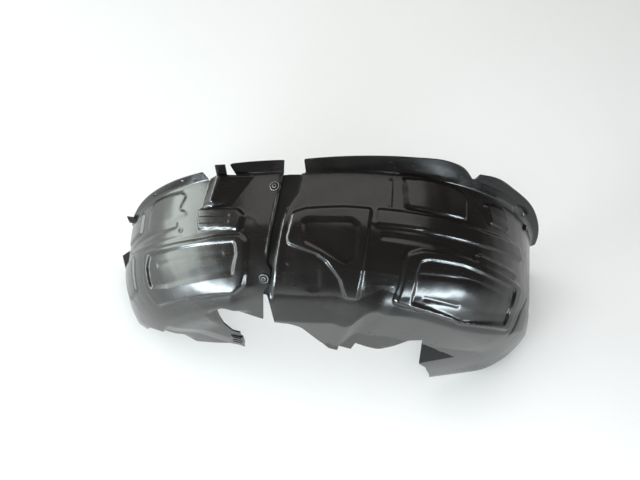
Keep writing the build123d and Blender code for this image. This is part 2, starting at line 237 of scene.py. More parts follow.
# sheet of one section cut along the line where keep is zero, as vertices and faces
def cutSheet(section):
    first, last = section["angles"]
    columns = int(radians(last - first) * arch["crownR"] / arch["step"])
    rows = int((arch["reach"] + section["flangeReach"]) / arch["step"])
    across = np.radians(np.linspace(first, last, columns))
    theta, p = np.meshgrid(across, np.linspace(-section["flangeReach"], arch["reach"], rows))

    def keep(theta, p):
        outer, inner, s = sheetAt(theta, p, section)
        return section["keep"](theta, p, s, outer)

    f = keep(theta, p)
    for border in (f[0], f[-1], f[:, 0], f[:, -1]):
        np.minimum(border, -0.01, out=border)
    f[np.abs(f) < 1e-3] = -1e-3
    inside = f > 0

    index = np.full(f.shape, -1)
    index[inside] = np.arange(inside.sum())
    thetas, ps = [theta[inside]], [p[inside]]
    count = inside.sum()
    crossings = []
    for axis in (0, 1):
        a = (slice(None, -1), slice(None)) if axis == 0 else (slice(None), slice(None, -1))
        b = (slice(1, None), slice(None)) if axis == 0 else (slice(None), slice(1, None))
        cut = inside[a] != inside[b]
        ta, tb, pa, pb, fa, fb = (grid[part][cut] for grid in (theta, p, f) for part in (a, b))
        low, high, flow, fhigh = np.zeros(ta.shape), np.ones(ta.shape), fa, fb
        for turn in range(arch["edgePasses"]):
            t = low + (high - low) * np.clip(flow / (flow - fhigh), 0.02, 0.98)
            ft = keep(ta + (tb - ta) * t, pa + (pb - pa) * t)
            same = (ft > 0) == (flow > 0)
            low, flow = np.where(same, t, low), np.where(same, ft, flow)
            high, fhigh = np.where(same, high, t), np.where(same, fhigh, ft)
        t = low + (high - low) * np.clip(flow / np.where(flow == fhigh, 1, flow - fhigh), 0, 1)
        thetas.append(ta + (tb - ta) * t)
        ps.append(pa + (pb - pa) * t)
        number = np.full(cut.shape, -1)
        number[cut] = count + np.arange(cut.sum())
        count += cut.sum()
        crossings.append(number)
    outer, inner, s = sheetAt(np.concatenate(thetas), np.concatenate(ps), section)

    full = inside[:-1, :-1] & inside[1:, :-1] & inside[1:, 1:] & inside[:-1, 1:]
    faces = np.stack([index[:-1, :-1], index[1:, :-1], index[1:, 1:], index[:-1, 1:]], -1)[full].tolist()
    some = inside[:-1, :-1] | inside[1:, :-1] | inside[1:, 1:] | inside[:-1, 1:]
    rim = []
    for i, j in np.argwhere(some & ~full):
        corners = [index[i, j], index[i + 1, j], index[i + 1, j + 1], index[i, j + 1]]
        cuts = [crossings[0][i, j], crossings[1][i + 1, j], crossings[0][i, j + 1], crossings[1][i, j]]
        ring, marks = [], []
        for corner, cut in zip(corners, cuts):
            if corner >= 0:
                ring.append(int(corner))
                marks.append(False)
            if cut >= 0:
                ring.append(int(cut))
                marks.append(True)
        faces.append(ring)
        for k, point in enumerate(ring):
            follow = (k + 1) % len(ring)
            if marks[k] and marks[follow] and not leavesCorner(corners, cuts, point):
                rim.append((point, ring[follow]))
    points = np.concatenate([outer, inner])
    faces += [[v + len(outer) for v in reversed(face)] for face in faces]
    used = sorted({v for edge in rim for v in edge})
    place = {v: len(points) + k for k, v in enumerate(used)}
    points = np.concatenate([points, outer[used], inner[used]])
    for a, b in rim:
        faces.append([place[b], place[a], place[a] + len(used), place[b] + len(used)])
    return points, faces


# true where the way round a cell goes from this cut to a kept corner
def leavesCorner(corners, cuts, cut):
    return corners[(cuts.index(cut) + 1) % 4] >= 0


def newPiece(name, points, faces, material, dullShade):
    mesh = bpy.data.meshes.new(name)
    mesh.from_pydata(((np.asarray(points) + hub) * mm).tolist(), [], faces)
    # per-point share of the painted-shade finish
    mesh.attributes.new("dullShade", "FLOAT", "POINT").data.foreach_set("value", dullShade)
    mesh.polygons.foreach_set("use_smooth", [True] * len(mesh.polygons))
    mesh.materials.append(material)
    mesh.update()
    piece = bpy.data.objects.new(name, mesh)
    bpy.context.scene.collection.objects.link(piece)
    return piece


# small block or plate, given by four corners at each end, with softened edges
def addBlock(piece, near, far):
    block = bmesh.new()
    ends = [[block.verts.new((np.array(c) + hub) * mm) for c in end] for end in (near, far)]
    block.faces.new(ends[0])
    block.faces.new(list(reversed(ends[1])))
    for k in range(len(near)):
        follow = (k + 1) % len(near)
        block.faces.new([ends[0][follow], ends[0][k], ends[1][k], ends[1][follow]])
    bmesh.ops.recalc_face_normals(block, faces=block.faces)
    softenEdges(block, block.edges[:], frontStops["soften"])
    extra = bpy.data.meshes.new("block")
    block.to_mesh(extra)
    block.free()
    whole = bmesh.new()
    whole.from_mesh(piece.data)
    whole.from_mesh(extra)
    whole.to_mesh(piece.data)
    whole.free()
    bpy.data.meshes.remove(extra)


def softenEdges(solid, edges, width):
    bmesh.ops.bevel(solid, geom=edges, offset=width * mm, segments=2, affect="EDGES", profile=0.6)


class Socket:
    def __init__(self, shader, socket):
        self.shader, self.socket = shader, socket

    def math(self, operation, a, b):
        return self.shader.node("ShaderNodeMath", {"operation": operation}, {0: a, 1: b})

    def __add__(self, other):
        return self.math("ADD", self, other)

    def __mul__(self, other):
        return self.math("MULTIPLY", self, other)

    __radd__, __rmul__ = __add__, __mul__


class Shader:
    def __init__(self, name, constants):
        self.material = bpy.data.materials.new(name)
        self.material.use_nodes = True
        self.tree = self.material.node_tree
        self.surface = self.tree.nodes["Principled BSDF"]
        for key, value in constants.items():
            self.surface.inputs[key].default_value = value
        self.place = self.node("ShaderNodeTexCoord", {}, {}, "Object")

    def node(self, kind, settings, values, output=0):
        made = self.tree.nodes.new(kind)
        for key, value in settings.items():
            setattr(made, key, value)
        for key, value in values.items():
            self.feed(made.inputs[key], value)
        return Socket(self, made.outputs[output])

    def feed(self, target, value):
        if isinstance(value, Socket):
            self.tree.links.new(value.socket, target)
        else:
            target.default_value = value

    def noise(self, scale, detail, stretch=(1, 1, 1)):
        place = self.node("ShaderNodeMapping", {}, {"Vector": self.place, "Scale": stretch})
        values = {"Vector": place, "Scale": scale, "Detail": detail}
        return self.node("ShaderNodeTexNoise", {}, values, "Fac")

    # noise taken from 0 to 1 between two of its levels
    def spots(self, low, high, *noise):
        values = {"Value": self.noise(*noise), "From Min": low, "From Max": high}
        return self.node("ShaderNodeMapRange", {"interpolation_type": "SMOOTHSTEP"}, values, "Result")

    def mix(self, factor, a, b):
        return self.node("ShaderNodeMix", {"data_type": "RGBA"}, {0: factor, 6: a, 7: b}, 2)

    def bump(self, height, strength, distance):
        values = {"Height": height, "Strength": strength, "Distance": distance}
        self.feed(self.surface.inputs["Normal"], self.node("ShaderNodeBump", {}, values))

    # second surface with its own constants, taken in by share
    def mixSurface(self, share, constants):
        values = {"Fac": share, 1: Socket(self, self.surface.outputs["BSDF"])}
        values[2] = self.node("ShaderNodeBsdfPrincipled", {}, constants)
        mixed = self.node("ShaderNodeMixShader", {}, values)
        self.feed(self.tree.nodes["Material Output"].inputs["Surface"], mixed)

    def use(self, **values):
        for key, value in values.items():
            self.feed(self.surface.inputs[key], value)
        return self.material


# black moulded sheet: glossy, with dusty patches, fine scratches and a faint orange peel; in places rougher, with a
# darker, less reflective finish that is painted shade.
# Spots are (low level, high level, noise scale, detail, stretch), grain is (scale, detail).
linerFinish = {
    "constants": {"IOR": 1.5},
    "black": (0.0112, 0.0098, 0.0092, 1),
    "dust": (0.045, 0.043, 0.04, 1),
    "patches": (0.45, 0.72, 9, 5),
    "scratches": (0.62, 0.75, 60, 3, (1, 7, 2)),
    "specks": (0.68, 0.78, 900, 2),
    "dustShares": (0.16, 0.1, 0.12),
    "gloss": 0.2,
    "patchRough": 0.11,
    "scratchRough": 0.12,
    "peel": (420, 3),
    "peelHeight": 0.5,
    "waves": (70, 2),
    "waveHeight": 1.5,
    "bump": (0.12, 0.0006),
    # rougher, darker and less reflective finish: painted shade on the landing strip, in the pocket and on the lobe
    "dullShadeFinish": {"Base Color": (0.009, 0.0085, 0.0085, 1), "Roughness": 0.55, "Specular IOR Level": 0.15},
}
clipLook = {
    "constants": {"IOR": 1.48, "Specular IOR Level": 0.12},
    "new": (0.01, 0.01, 0.011, 1),
    "old": (0.03, 0.03, 0.03, 1),
    "worn": (0.5, 0.7, 220, 4),
    "share": 0.5,
    "rough": 0.7,
    "wornRough": 0.15,
    "grain": (900, 2),
    "bump": (0.2, 0.0003),
}
steelLook = {
    "constants": {"Metallic": 1.0},
    "new": (0.2, 0.2, 0.205, 1),
    "old": (0.07, 0.065, 0.06, 1),
    "worn": (0.42, 0.7, 160, 5),
    "share": 1.0,
    "rough": 0.32,
    "wornRough": 0.25,
    "grain": (500, 2, (1, 6, 1)),
    "bump": (0.15, 0.0003),
}


def linerPlastic():
    shader = Shader("linerPlastic", linerFinish["constants"])
    patches, scratches, specks = (shader.spots(*linerFinish[k]) for k in ("patches", "scratches", "specks"))
    inPatches, inScratches, inSpecks = linerFinish["dustShares"]
    dusty = patches * inPatches + scratches * inScratches + specks * inSpecks
    dullShade = shader.node("ShaderNodeAttribute", {"attribute_name": "dullShade"}, {}, "Fac")
    rough = patches * linerFinish["patchRough"] + scratches * linerFinish["scratchRough"] + linerFinish["gloss"]
    peel = shader.noise(*linerFinish["peel"]) * linerFinish["peelHeight"]
    waves = shader.noise(*linerFinish["waves"]) * linerFinish["waveHeight"]
    shader.bump(peel + waves, *linerFinish["bump"])
    # the attribute mixes in the painted shade: a rougher, darker, less reflective surface
    shader.mixSurface(dullShade, linerFinish["dullShadeFinish"])
    colour = shader.mix(dusty, linerFinish["black"], linerFinish["dust"])
    return shader.use(**{"Base Color": colour, "Roughness": rough})


# finish of a fastener, worn or stained in spots
def wornFinish(name, look):
    shader = Shader(name, look["constants"])
    worn = shader.spots(*look["worn"])
    shader.bump(shader.noise(*look["grain"]), *look["bump"])
    colour = shader.mix(worn * look["share"], look["new"], look["old"])
    return shader.use(**{"Base Color": colour, "Roughness": worn * look["wornRough"] + look["rough"]})


liner = linerPlastic()
clipFinish = wornFinish("clipPlastic", clipLook)
steelFinish = wornFinish("platedSteel", steelLook)
print("finishes made")

# front section: panels are (middle angle, corners (angle, s), level, corner radius, edge width), ribs are
# (corners, height, width), dimples (angle, s, depth, radius), flanges (first angle, last angle, upper edges,
# corner radius) and the opening's corners (angle, depth under the crown, corner radius)
frontSection = {
    "angles": (-105, -8),
    "edgeY": 156.0,
    "slant": 0.0,
    "flangeReach": 48.0,
    "panels": [
        (-39, [(-56, 13), (-44, 18), (-34, 21), (-28.7, 19), (-21.6, 21), (-20.1, 33), (-20.6, 56), (-21.2, 84),
               (-22.6, 103), (-26, 113), (-34, 112), (-46.7, 109), (-58, 105), (-59.2, 78), (-58.9, 60)], 6, 7, 6),
        (-39, [(-53, 23), (-44, 27), (-23, 32), (-22.8, 52), (-24.6, 80), (-36, 82), (-48, 82), (-56, 74),
               (-55, 40)], 2, 6, 5),
        (-48, [(-53.9, -77), (-48, -77), (-41.7, -72), (-39.9, -64), (-42, -43), (-38.3, -29), (-44.7, -25),
               (-53, -27), (-56, -32), (-56.2, -59)], 1.8, 6, 10),
        (-28, [(-34.6, -32), (-22.6, -21), (-21, -10), (-22, 13), (-34, 4)], 8, 5, 4.5),
        (-67, [(-73, -70), (-61, -70), (-61, -31), (-73, -31)], 3.5, 6, 6),
        (-70, [(-77, 0), (-65, 4), (-67, 64), (-77, 64)], 3.5, 6, 6),
    ],
    "ribs": [
        ([(-72, -16), (-58, -15), (-43, -15)], -2.5, 4.5),
        ([(-72, -12), (-58, 2), (-50, 8), (-40, 11), (-33, 12.5), (-27, 14.5), (-21.5, 17)], 1.6, 3.0),
        ([(-34, -19), (-25, -11)], -1.6, 2.2),
        ([(-33.6, -7), (-25, 0)], -1.6, 2.2),
        ([(-20.6, -12), (-18, -4), (-16.8, 9)], 0.4, 2.5),
        ([(-50, 45), (-27, 49)], -1.0, 3.0),
    ],
    "dimples": [(-40.7, -3, 2.0, 4.0)],
    "flanges": [
        (-24.5, -8, [[(-25, 24.5), (-8, 24.5)]], 2.0),
        (-78, -33, [[(-79, 3), (-69, 6), (-55, 12), (-42, 16), (-32, 17.2)]], 1.5),
    ],
    "opening": [
        (15, 146, 0), (-24, 135, 0), (-34.1, 91, 12), (-39.3, 94, 9), (-41.5, 111, 9), (-44, 133, 18),
        (-44.6, 156, 0), (-42.1, 165, 0), (-52.8, 206, 0), (-61, 188, 0), (-79.5, 142, 0),
        (-76.1, 112, 12), (-75.8, 84, 12), (-82.8, 57, 20), (-93.4, 39, 0), (-105.9, 12, 0), (149, 261, 0),
    ],
    "seamBumps": [(-120, 0), (-30, 0), (-22, 8), (-4, 8), (4, 0), (240, 0)],
    "screwHoles": [(-40.5, 11.5), (-53.0, 7.5)],
    "screwHoleR": 3.2,
    "towerFoot": [(97, -34.0), (175, -31.6)],      # (y, angle) of its left side
    "towerRidge": [(97, -32.6), (175, -30.2)],
    "towerSlope": [(97, -25.2), (175, -16.5)],     # where its slope runs out
    "towerTop": 3.2,
    "towerFall": 0.85,     # how its slope curves
    "towerEnd": (98.0, 7.0),       # y, and the width that it drops over
    "towerRoot": (-3.0, 4.0),
    "towerRise": 20.0,
    "lipWidth": 3.5,       # raised edge along the seam
    "lipRise": 2.2,
    "lipFrom": (10.0, 12.0),       # y, and the width that it rises over
    "lipClear": (6.0, 6.0),        # clear of the clips
    "bulge": 12.0,         # fuller stretch of the fold over the notch and the arm
    "bulgeSpan": (25.0, 205.0),
    "bulgeRise": 110.0,
    "bulgePower": 1.6,
    "bulgeFade": 55.0,
    "bulgeEdge": 16.0,
    "bulgeSeam": (14.0, 40.0),
    "armCreaseZ": 130.0,   # lower edge of the arm, turned under
    "armCreaseRun": 0.02,
    "armCrease": (-300, -130),
    "armFade": 20.0,
    "armSlope": 0.12,
    "armTurn": 4.0,
}

# rear section, in the same terms
rearSection = {
    "angles": (-20, 106),
    "edgeY": 160.0,
    "slant": tan(radians(5)),
    "flangeReach": 54.0,
    "panels": [
        (1, [(-8.6, -13), (-5.6, -20), (3.4, -27), (10, -29), (10, 126), (6.4, 126), (4, 91), (2.2, 78), (0, 62),
             (-2.5, 52), (-6, 45), (-9.4, 38), (-9.8, 30)], 6, 4, 6),
        (1, [(-6.1, 4), (-5, -1), (5.5, -5), (7, 2), (7.4, 56), (4.9, 66), (3, 61), (-1.1, 47),
             (-5.4, 35)], 2, 4, 5),
        (36, [(11.5, -30), (20.2, -34), (29, -38), (36.8, -38), (46, -44), (60, -55), (63.5, -33), (41, -13),
              (29.5, -7), (20.5, -7), (11.5, -2)], 6, 5, 5.5),
        (26, [(17.7, -92), (23.4, -97), (30.5, -98), (34.6, -93), (36, -82), (36.2, -50), (27, -43), (18.7, -41)],
         6, 6, 5),
        (48, [(42.6, -90), (47.4, -98), (50.8, -98), (54.2, -66), (45, -62)], 6, 5, 5),
        (43, [(20.6, 118), (20.4, 86), (19.6, 51), (20.4, 34), (23.7, 24), (34, 17), (63, 14), (66, 88), (45, 122)],
         6, 9, 6),
        (43, [(25.2, 112), (24.4, 88), (23.4, 60), (23.6, 42), (26, 36), (36, 30), (48, 31), (59, 28), (62, 84),
              (45, 117)], 2.6, 7, 5),
        (49, [(40, 4), (57, 0), (60, 10), (41, 17)], 6, 5, 4.5),
        (-3, [(-5.0, 72), (-1.4, 68), (-1.2, 117), (-5.0, 119)], -1.7, 12, 12),
        (23, [(13, 9), (34.5, 2), (35.4, 11), (13, 19)], -2, 3, 4),
    ],
    "ribs": [
        ([(14.5, -82), (14.6, -38)], 1.5, 2.5),
        ([(10.4, -8), (12.1, -2), (17.4, -5), (22.6, -9)], 1.0, 2.5),
        ([(6.5, 71), (19.2, 71)], 0.7, 2.2),
        ([(9.9, 73), (10.6, 109)], 0.6, 2.2),
        ([(13.6, 94), (18.2, 91)], 0.6, 2.2),
        ([(25, 63), (40, 49), (58, 47)], -1.2, 2.6),
        ([(28.6, 100), (40, 95)], -1.2, 2.6),
        ([(71.3, 20), (69, 54), (69.4, 89)], -2.2, 2.4),
    ],
    "dimples": [(-10.4, 73, 2.0, 4.0)],
    "flange": (-6.5, 87, [
        [(-8, 26), (5.6, 32), (17.6, 38), (26, 42), (31, 36), (35.5, 19.5)],
        [(36.8, 33), (40, 36.5), (50, 31.3), (60, 26.7), (70, 20), (88, 12.5)],
    ], 1.5),
    "dentAngle": 59.5,     # dent at the lobe's foot
    "dentUp": 8.0,
    "dentHalf": (24.0, 6.5),
    "dentDepth": 5.0,
    "screwAngle": 67.0,
    "screwInset": 14.0,
    "screwHoleR": 3.2,
    "beadUp": 21.0,        # bead along the lobe
    "beadRise": 1.0,
    "beadWidth": 1.7,
    "beadAngles": (36.5, 53.0),
    "beadFades": (1.5, 4.0),
    # crease between the fold and the wall, (angle, s), and how far it stands out
    "crease": [(-20, 186), (-5, 192), (3, 189), (11.2, 184), (12.8, 166), (14.2, 153), (21.6, 146), (29.2, 138),
               (39.5, 136), (49, 130), (57, 118), (67, 95), (74, 72), (90, 50)],
    "creaseRise": [(-14, 12), (11, 12), (14, 9), (90, 9)],
    "creaseSpan": [(-14, 62), (11, 62), (14, 42), (90, 42)],
    "creaseAfter": 85.0,
    # pocket beside the wall's opening: corners (x, z)
    "pocket": [(150, 150), (177, 147), (237, 68), (150, 66)],
    "pocketSlope": 0.28,
    "stepWidth": 3.0,      # width of the steps down to the landing strip and into the pocket
    "shoulderRise": 2.2,   # rounded edge over the landing strip
    "shoulderBack": 6.0,
    "shoulderWidth": 5.0,
    "shoulderEnd": (105.0, 30.0),
    "lobeDullShade": 0.7,       # share of the rough, darker finish (painted shade) on the lobe, and where it starts
    "lobeStart": 36.0,
    "lobeFade": 4.0,
    "lobeDepth": 10.0,
    "opening": [
        (-28.6, 107, 0), (-12.9, 132, 20), (-8.8, 143, 30), (-1, 202, 20), (4.4, 222, 0),
        (10.2, 226, 0), (10, 211, 0), (18, 216, 0), (18.1, 195, 0), (25.7, 200, 14), (33.3, 200, 20),
        (38.3, 178, 20), (40.9, 149, 12), (45, 135, 0), (51.3, 154, 0), (70.5, 192, 0), (79.2, 186, 0),
        (100, 171, 0), (115.9, 149, 0), (-127.6, 214, 0),
    ],
    "stepLine": [(-44, 240), (-48, 158), (-52, 119), (-67, 94), (-73, 70), (-83, -14), (-86, -32),
                 (-300, -32), (-300, 240)],
    "landing": 24.0,
    "landingTop": [(-46, 240), (-48.5, 150)],      # what is beyond the landing strip, (x, y)
    "landingEnds": (150, -26),
    "landingFoot": [(-92, -32), (-80, -60), (-80, -150), (-300, -150), (-300, 240)],
}


def seamAt(y, shift=0.0):
    return arch["seamX"] + arch["seamSlope"] * y + shift


# distance outside the opening, only on the wall side of the fold
def clearOfOpening(outer, section):
    d = -insideDistance(outer[..., 0], outer[..., 2], openingOutline(section))
    return np.maximum(d, outer[..., 1] - arch["openingY"])


def openingOutline(section):
    corners = [belowCrown(angle, depth) for angle, depth, r in section["opening"]]
    return roundCorners(corners, [r for angle, depth, r in section["opening"]])


def clipHoles(theta, s):
    d = np.full(np.shape(theta), arch["far"])
    for x, y in clipSpots:
        s0 = alongAt(y)
        y0, r0, turn0 = sectionAt(np.array(float(s0)))
        d = np.minimum(d, np.hypot(r0 * (theta - np.arcsin(x / r0)), s - s0) - clipHoleR)
    return d


def seamDistance(x, y):
    return seamAt(y) + np.interp(y, *zip(*frontSection["seamBumps"])) - x


def keepFront(theta, p, s, outer):
    x, y, z = outer[..., 0], outer[..., 1], outer[..., 2]
    edge = p + arch["rootLip"]
    for first, last, edges, corner in frontSection["flanges"]:
        edge = np.maximum(edge, flangeDistance(theta, outer, first, last, edges, corner))
    seam = seamDistance(x, y)
    holes = clipHoles(theta, s)
    for angle, rise in frontSection["screwHoles"]:
        hx, hz = belowCrown(angle, -rise)
        hole = np.hypot(x - hx, z - hz) - frontSection["screwHoleR"]
        holes = np.minimum(holes, np.where(p < 0, hole, arch["far"]))
    return np.minimum.reduce([edge, seam, holes, clearOfOpening(outer, frontSection), z + hub[2]])


# wedge tower, raised seam edge, fuller fold and the turned-under lower edge of the arm
def shapeFront(theta, s, p, r, y):
    angle = np.degrees(theta)
    foot, ridge, slope = (np.interp(y, *zip(*frontSection[k])) for k in ("towerFoot", "towerRidge", "towerSlope"))
    top = frontSection["towerTop"]
    left = (smooth((angle - foot) / (ridge - foot)) + np.clip((angle - ridge) / top, 0, 1)) / 2
    right = 1 - np.clip((angle - ridge - top) / (slope - ridge - top), 0, 1) ** frontSection["towerFall"]
    tower = frontSection["towerRise"] * left * right * ramp(y, "towerEnd") * ramp(p, "towerRoot")
    x, z = r * np.sin(theta), r * np.cos(theta)
    fromSeam = seamDistance(x, y)
    lip = frontSection["lipRise"] * smooth(1.5 - fromSeam / frontSection["lipWidth"]) * (p > 0)
    lip = lip * ramp(y, "lipFrom") * ramp(clipHoles(theta, s), "lipClear")
    first, last = frontSection["bulgeSpan"]
    clear = -insideDistance(x, z, openingOutline(frontSection))
    bulge = np.clip((s - first) / frontSection["bulgeRise"], 0, 1) ** frontSection["bulgePower"]
    bulge = bulge * smooth((last - s) / frontSection["bulgeFade"]) * smooth(clear / frontSection["bulgeEdge"])
    bulge = frontSection["bulge"] * bulge * ramp(fromSeam, "bulgeSeam")
    low, high = frontSection["armCrease"]
    fade = frontSection["armFade"]
    onArm = smooth((x - low) / fade) * smooth((high - x) / fade) * (s > foldLen)
    under = np.maximum(frontSection["armCreaseZ"] - z - frontSection["armCreaseRun"] * (x - low), 0)
    under = np.minimum(under * frontSection["armSlope"], frontSection["armTurn"])
    return tower + lip + bulge - under * onArm


# rise from 0 at a setting's start to 1 over its width
def ramp(value, setting):
    start, width = frontSection[setting]
    return smooth((value - start) / width)


def keepRear(theta, p, s, outer):
    x, y, z = outer[..., 0], outer[..., 1], outer[..., 2]
    first, last, edges, corner = rearSection["flange"]
    edge = np.maximum(p + arch["rootLip"], flangeDistance(theta, outer, first, last, edges, corner))
    along = arch["crownR"] * (theta - radians(rearSection["screwAngle"]))
    screw = np.hypot(along, p + arch["rootInset"] - rearSection["screwInset"]) - rearSection["screwHoleR"]
    holes = np.minimum(np.where(p < 0, arch["far"], screw), clipHoles(theta, s))
    strip = [(seamAt(end, -rearSection["landing"]), end) for end in rearSection["landingEnds"]]
    landing = -insideDistance(x, y, rearSection["landingTop"] + strip + rearSection["landingFoot"])
    return np.minimum.reduce([edge, landing, holes, clearOfOpening(outer, rearSection), z + hub[2]])


# landing strip with its shoulder, the lobe's bead and dent, the crease over the wall and the pocket in it
def shapeRear(theta, s, p, r, y):
    angle = np.degrees(theta)
    d = insideDistance(r * np.sin(theta), y, rearSection["stepLine"])
    step = -(arch["sheet"] + arch["seamGap"]) * smooth(d / rearSection["stepWidth"] + 0.5)
    end, fade = rearSection["shoulderEnd"]
    shoulder = np.exp(-(((d + rearSection["shoulderBack"]) / rearSection["shoulderWidth"]) ** 2))
    shoulder = rearSection["shoulderRise"] * shoulder * smooth((end - y) / fade)
    (first, last), (rise, fall) = rearSection["beadAngles"], rearSection["beadFades"]
    onLobe = smooth((angle - first) / rise) * smooth((last - angle) / fall) * (p < 0)
    bead = np.exp(-(((upFlange(p) - rearSection["beadUp"]) / rearSection["beadWidth"]) ** 2))
    bead = rearSection["beadRise"] * bead * onLobe
    fromCrease = s - throughPoints(angle, rearSection["crease"])
    before = np.interp(angle, *zip(*rearSection["creaseSpan"]))
    ridge = np.clip(np.minimum(1 + fromCrease / before, 1 - fromCrease / rearSection["creaseAfter"]), 0, 1)
    ridge = ridge * np.interp(angle, *zip(*rearSection["creaseRise"]))
    x, z = r * np.sin(theta), r * np.cos(theta)
    depth = rearSection["pocketSlope"] * np.maximum(z - rearSection["pocket"][-1][1], 0)
    pocket = -depth * smooth(inPocket(x, z, s > foldLen) / rearSection["stepWidth"] + 0.5)
    along = arch["crownR"] * (theta - radians(rearSection["dentAngle"])) / rearSection["dentHalf"][0]
    up = (upFlange(p) - rearSection["dentUp"]) / rearSection["dentHalf"][1]
    dent = -rearSection["dentDepth"] * smooth(2.5 - 2 * np.hypot(along, up)) * (p < 0)
    return step + shoulder + bead + ridge + pocket + dent


def inPocket(x, z, onWall):
    return np.where(onWall, insideDistance(x, z, rearSection["pocket"]), -arch["far"])


# share of the rough, darker finish, which is painted shade: on the landing strip under the front's edge, in the
# pocket, and for the lobe's dark look
def dullShadeShare(points):
    x, y, z = points.T
    sunk = np.maximum(insideDistance(x, y, rearSection["stepLine"]), inPocket(x, z, y < 0))
    fade = rearSection["lobeFade"]
    onLobe = smooth(np.degrees(np.arctan2(x, z)) - rearSection["lobeStart"])
    onLobe = onLobe * smooth((np.hypot(x, z) - arch["crownR"] - fade) / fade)
    onLobe = rearSection["lobeDullShade"] * onLobe * (y > rearSection["edgeY"] - rearSection["lobeDepth"])
    return np.maximum(smooth(sunk / rearSection["stepWidth"] + 0.5), onLobe)


frontSection.update(keep=keepFront, shape=shapeFront)
rearSection.update(keep=keepRear, shape=shapeRear)

# stops and tab on the front section: corners (distance inside the crown, y) and heights over the hub
frontStops = {
    "fin": [(6, 132), (-10, 129), (-21, 119), (-2, 68), (6, 70)],
    "finZ": (4.0, 6.6),
    "peg": [(21, 156), (1, 157), (6, 148), (21, 148)],
    "pegZ": (108.0, 120.0),
    "tabFeet": [(-29.0, 12.0), (-26.4, 8.0)],      # (angle, rise over the crown)
    "tabHeight": 40.0,
    "soften": 0.8,
}


def addStops(piece):
    for name in ("fin", "peg"):
        flat = [(inside - arch["crownR"], y) for inside, y in frontStops[name]]
        low, high = frontStops[name + "Z"]
        addBlock(piece, [(x, y, low) for x, y in flat], [(x, y, high) for x, y in flat])
    feet = [belowCrown(angle, -rise) for angle, rise in frontStops["tabFeet"]]
    tab = feet + [(x, z + frontStops["tabHeight"]) for x, z in reversed(feet)]
    back = frontSection["edgeY"] - arch["rootInset"]
    addBlock(piece, [(x, back, z) for x, z in tab], [(x, back + arch["sheet"], z) for x, z in tab])


for node, section in (("front_section", frontSection), ("rear_section", rearSection)):
    points, faces = cutSheet(section)
    # only the rear sheet gets the painted shade
    dullShade = dullShadeShare(points) if node == "rear_section" else np.zeros(len(points))
    piece = newPiece(node.replace("_section", "Sheet"), points, faces, liner, dullShade)
    if node == "front_section":
        addStops(piece)
    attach(piece, "root")
    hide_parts(node)
    triangles = sum(len(f.vertices) - 2 for f in piece.data.polygons)
    print(node, "sheet made,", triangles, "triangles")

for node in ("arm_spring_nut", "lobe_screw"):
    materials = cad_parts[node].data.materials
    materials.clear()
    materials.append(steelFinish)

# push clips through the seam: a body and its spreader pin, sizes in millimetres
seamClips = {
    "seam_clip_bodies": {"Lift": 0.25, "Head Radius": 7.5, "Head Thickness": 2.0, "Shank Width": 4.6,
                         "Shank Length": 11.0, "Hole Width": 2.6},
    "seam_clip_pins": {"Lift": 2.35, "Head Radius": 3.2, "Head Thickness": 1.2, "Shank Width": 2.4,
                       "Shank Length": 13.0, "Hole Width": 0.0},
}
clipNames = {"seam_clip_bodies": "pushClips", "seam_clip_pins": "pushPins"}
clipSides = 40
clipSharp = radians(40)    # edges sharper than this are softened
clipEdge = 0.35
holeReach = 4.0            # the hole's cutter is this many shanks long


